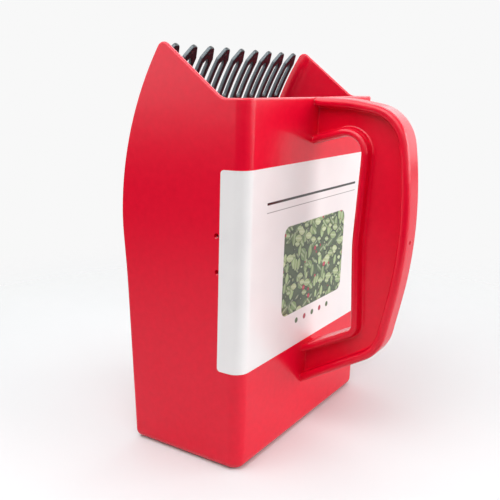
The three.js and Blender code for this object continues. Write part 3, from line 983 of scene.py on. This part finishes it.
# Four layers of leaves some 8 x 5 mm, each turned another way and shading those under it, paler to the front
leaf_edge, leaf_core = 0.45, 0.41
shadow_edge, shadow_core = 0.58, 0.43
leaf_slimness = 0.6
rib_half = 0.14
for turn, dark, light, size in ((0.5, "#46583a", "#64794f", 10.0), (-0.7, "#566b44", "#7e9a62", 10.5),
                                (1.4, "#6a8350", "#9ab47a", 11.0), (-0.2, "#829a66", "#bccb9c", 11.5)):
    turned = node(tree, "ShaderNodeMapping", {"vector_type": "TEXTURE"}, Vector=sheet_uv,
                  Rotation=(0, 0, turn), Scale=(1 / size, leaf_slimness / size, 1.0),
                  Location=(turn * 3.7, turn * 5.1, 0))
    cells = node(tree, "ShaderNodeTexVoronoi", {"distance": "MINKOWSKI"}, Vector=turned.outputs[0], Scale=1.0,
                 Exponent=1.6, Randomness=0.9)
    from_middle = cells.outputs["Distance"]
    leaf = node(tree, "ShaderNodeMapRange", Value=from_middle, From_Min=leaf_edge, From_Max=leaf_core)
    thrown = node(tree, "ShaderNodeMapRange", Value=from_middle, From_Min=shadow_edge, From_Max=shadow_core,
                  To_Max=0.55)
    shade = mix(tree, thrown.outputs[0], shade, "#2c3826")
    tones = node(tree, "ShaderNodeSeparateColor", Color=cells.outputs["Color"])
    leaf_tone = mix(tree, tones.outputs[0], dark, light)
    offset = node(tree, "ShaderNodeVectorMath", {"operation": "SUBTRACT"}, _0=turned.outputs[0],
                  _1=cells.outputs["Position"])
    from_rib = node(tree, "ShaderNodeSeparateXYZ", Vector=offset.outputs[0])
    across = maths(tree, "ABSOLUTE", from_rib.outputs["Y"])
    rib = node(tree, "ShaderNodeMapRange", Value=across, From_Max=rib_half, To_Min=0.5, To_Max=0.0)
    shade = mix(tree, leaf.outputs[0], shade, mix(tree, rib.outputs[0], leaf_tone, "#d3dcbc"))

# Berries 3 mm wide in half of the cells, paler to the middle
berry_edge, berry_core = 0.27, 0.24
berry_cells = node(tree, "ShaderNodeTexVoronoi", Vector=sheet_uv, Scale=17.0, Randomness=0.8)
from_middle = berry_cells.outputs["Distance"]
berry = node(tree, "ShaderNodeMapRange", Value=from_middle, From_Min=berry_edge, From_Max=berry_core)
draw = node(tree, "ShaderNodeSeparateColor", Color=berry_cells.outputs["Color"])
berry_here = maths(tree, "MULTIPLY", berry.outputs[0], maths(tree, "GREATER_THAN", draw.outputs[0], 0.5))
berry_glow = node(tree, "ShaderNodeMapRange", Value=from_middle, From_Max=berry_edge)
picture = mix(tree, berry_here, shade, mix(tree, berry_glow.outputs[0], "#d8566c", "#8e1730"))
film_cloud = node(tree, "ShaderNodeTexNoise", Vector=sheet_uv, Scale=6.0, Detail=1.0)
blank = mix(tree, film_cloud.outputs["Fac"], "#e8e5e6", "#efecec")
print_tone = mix(tree, field, blank, picture)

# A thick and a thin rule above the picture, and a row of small discs 9 mm apart below it
rule_half = 0.5
for height, thickness in ((1.39, 0.016), (1.345, 0.006)):
    rule = box_mask(tree, (0.0, height, 0), (rule_half, thickness / 2, 0), thickness / 3, 0.003)
    print_tone = mix(tree, rule, print_tone, "#2b2526")
disc_pitch = 0.09
disc_height = 0.69
disc_radius = 0.018
for i, colour in enumerate(("#4d6340", "#a32a40", "#4d6340", "#a32a40", "#4d6340")):
    disc = box_mask(tree, (picture_centre[0] + (i - 2) * disc_pitch, disc_height, 0),
                    (disc_radius, disc_radius, 0), disc_radius, print_edge)
    print_tone = mix(tree, disc, print_tone, colour)
shader = node(tree, "ShaderNodeBsdfPrincipled", Base_Color=print_tone, Roughness=0.24, IOR=1.5,
              Coat_Weight=0.3, Coat_Roughness=0.15)
node(tree, "ShaderNodeOutputMaterial", Surface=shader.outputs[0])
label.data.materials.append(label_film)
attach(label, "root")
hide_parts("wrap_label")

# Rivets and washers
# Five domed aluminium rivets through the floor and the comb's root plate, under every other tine, each with
# a punched washer under its formed end inside the scoop.
rivet_count = 5
rivet_drop = 17
rivet_z = lip - rivet_drop
rivet_shank = 1.6
rivet_head = 3.6
rivet_rise = 1.4
head_edge = 0.25
rivet_tail = 2.6
washer_radius = 4.0
washer_bore = 1.9
washer_thickness = 0.8
stack = plate_seat + plate_thickness
lathe_steps = 32


def lathe(name, profile):
    """Spins a closed profile of (radius, height) round the local Y axis."""
    skin = Skin()
    rows = []
    for step in range(lathe_steps):
        a = math.tau * step / lathe_steps
        rows.append([(r * math.cos(a), h, r * math.sin(a)) for r, h in profile])
    skin.grid(rows + [rows[0]])
    return bpy.data.objects.new(name, skin.mesh(name))


# Profiles as (radius, height above the outside of the floor)
dome_rise = rivet_rise - head_edge
dome = [(rivet_head * math.cos(a), head_edge + dome_rise * math.sin(a)) for a in turns(0, 90, 8)]
tail_at = -stack - washer_thickness
tail = [(0.0, tail_at - 1.1), (1.0, tail_at - 1.1), (1.9, tail_at - 0.85), (rivet_tail, tail_at - 0.35),
        (rivet_tail, tail_at)]
shank = [(rivet_shank, tail_at), (rivet_shank, 0.0), (rivet_head - 0.1, 0.0), (rivet_head, 0.12)]
rivet_part = lathe("rivet_form", tail + shank + dome)
washer_part = lathe("washer_form", [(washer_bore, tail_at + 0.1), (washer_bore + 0.1, tail_at),
                                    (washer_radius - 0.15, tail_at), (washer_radius, tail_at + 0.15),
                                    (washer_radius, -stack - 0.1), (washer_radius - 0.1, -stack),
                                    (washer_bore, -stack), (washer_bore, tail_at + 0.1)])

# A row of one part across the floor, at a depth, height and lean
group = repeat_tree("row of fasteners", [
    ("Part", "NodeSocketObject"), ("Count", "NodeSocketInt"), ("Pitch", "NodeSocketFloat"),
    ("Depth", "NodeSocketFloat"), ("Height", "NodeSocketFloat"), ("Lean", "NodeSocketFloat"),
    ("Material", "NodeSocketMaterial")])
given = node(group, "NodeGroupInput").outputs
reach = maths(group, "MULTIPLY", maths(group, "SUBTRACT", given["Count"], 1.0), given["Pitch"])
start = maths(group, "MULTIPLY", reach, -0.5)
start_at = node(group, "ShaderNodeCombineXYZ", X=start, Y=given["Depth"], Z=given["Height"])
step_by = node(group, "ShaderNodeCombineXYZ", X=given["Pitch"])
line = node(group, "GeometryNodeMeshLine", {"mode": "OFFSET"}, Count=given["Count"],
            Start_Location=start_at.outputs[0], Offset=step_by.outputs[0])
source = node(group, "GeometryNodeObjectInfo", Object=given["Part"])
tilt = node(group, "ShaderNodeCombineXYZ", X=given["Lean"])
placed = node(group, "GeometryNodeInstanceOnPoints", Points=line.outputs[0],
              Instance=source.outputs["Geometry"], Rotation=tilt.outputs[0])
real = node(group, "GeometryNodeRealizeInstances", Geometry=placed.outputs[0])
coated = node(group, "GeometryNodeSetMaterial", Geometry=real.outputs[0], Material=given["Material"])
node(group, "NodeGroupOutput", Geometry=coated.outputs[0])

# Aluminium, tumbled to a satin finish: pale grey with broad bright highlights. Its scratches are drawn 0.4 mm
# apart, coarser than the real ones, so that they show.
scratch_scale = 2500.0
aluminium, tree = material("satin aluminium")
spot = node(tree, "ShaderNodeTexCoord").outputs["Object"]
scuff = node(tree, "ShaderNodeTexNoise", Vector=spot, Scale=scratch_scale, Detail=3.0)
gloss = node(tree, "ShaderNodeMapRange", Value=scuff.outputs["Fac"], To_Min=0.28, To_Max=0.44)
tone = mix(tree, scuff.outputs["Fac"], "#d5d7da", "#e6e7e9")
shader = node(tree, "ShaderNodeBsdfPrincipled", Base_Color=tone, Roughness=gloss.outputs[0], Metallic=1.0)
node(tree, "ShaderNodeOutputMaterial", Surface=shader.outputs[0])

for name, part, stands_for in (("floor_rivets", rivet_part, "rivet"),
                               ("rivet_washers", washer_part, "rivet_washer")):
    row = run_tree(group, name, {
        "Part": part, "Count": rivet_count, "Pitch": 2 * tine_pitch * mm, "Depth": floor_face(rivet_z) * mm,
        "Height": rivet_z * mm, "Lean": -floor_lean, "Material": aluminium})
    smooth(row)
    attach(row, "root")
    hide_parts(*[f"{stands_for}_{i + 1}" for i in range(rivet_count)])
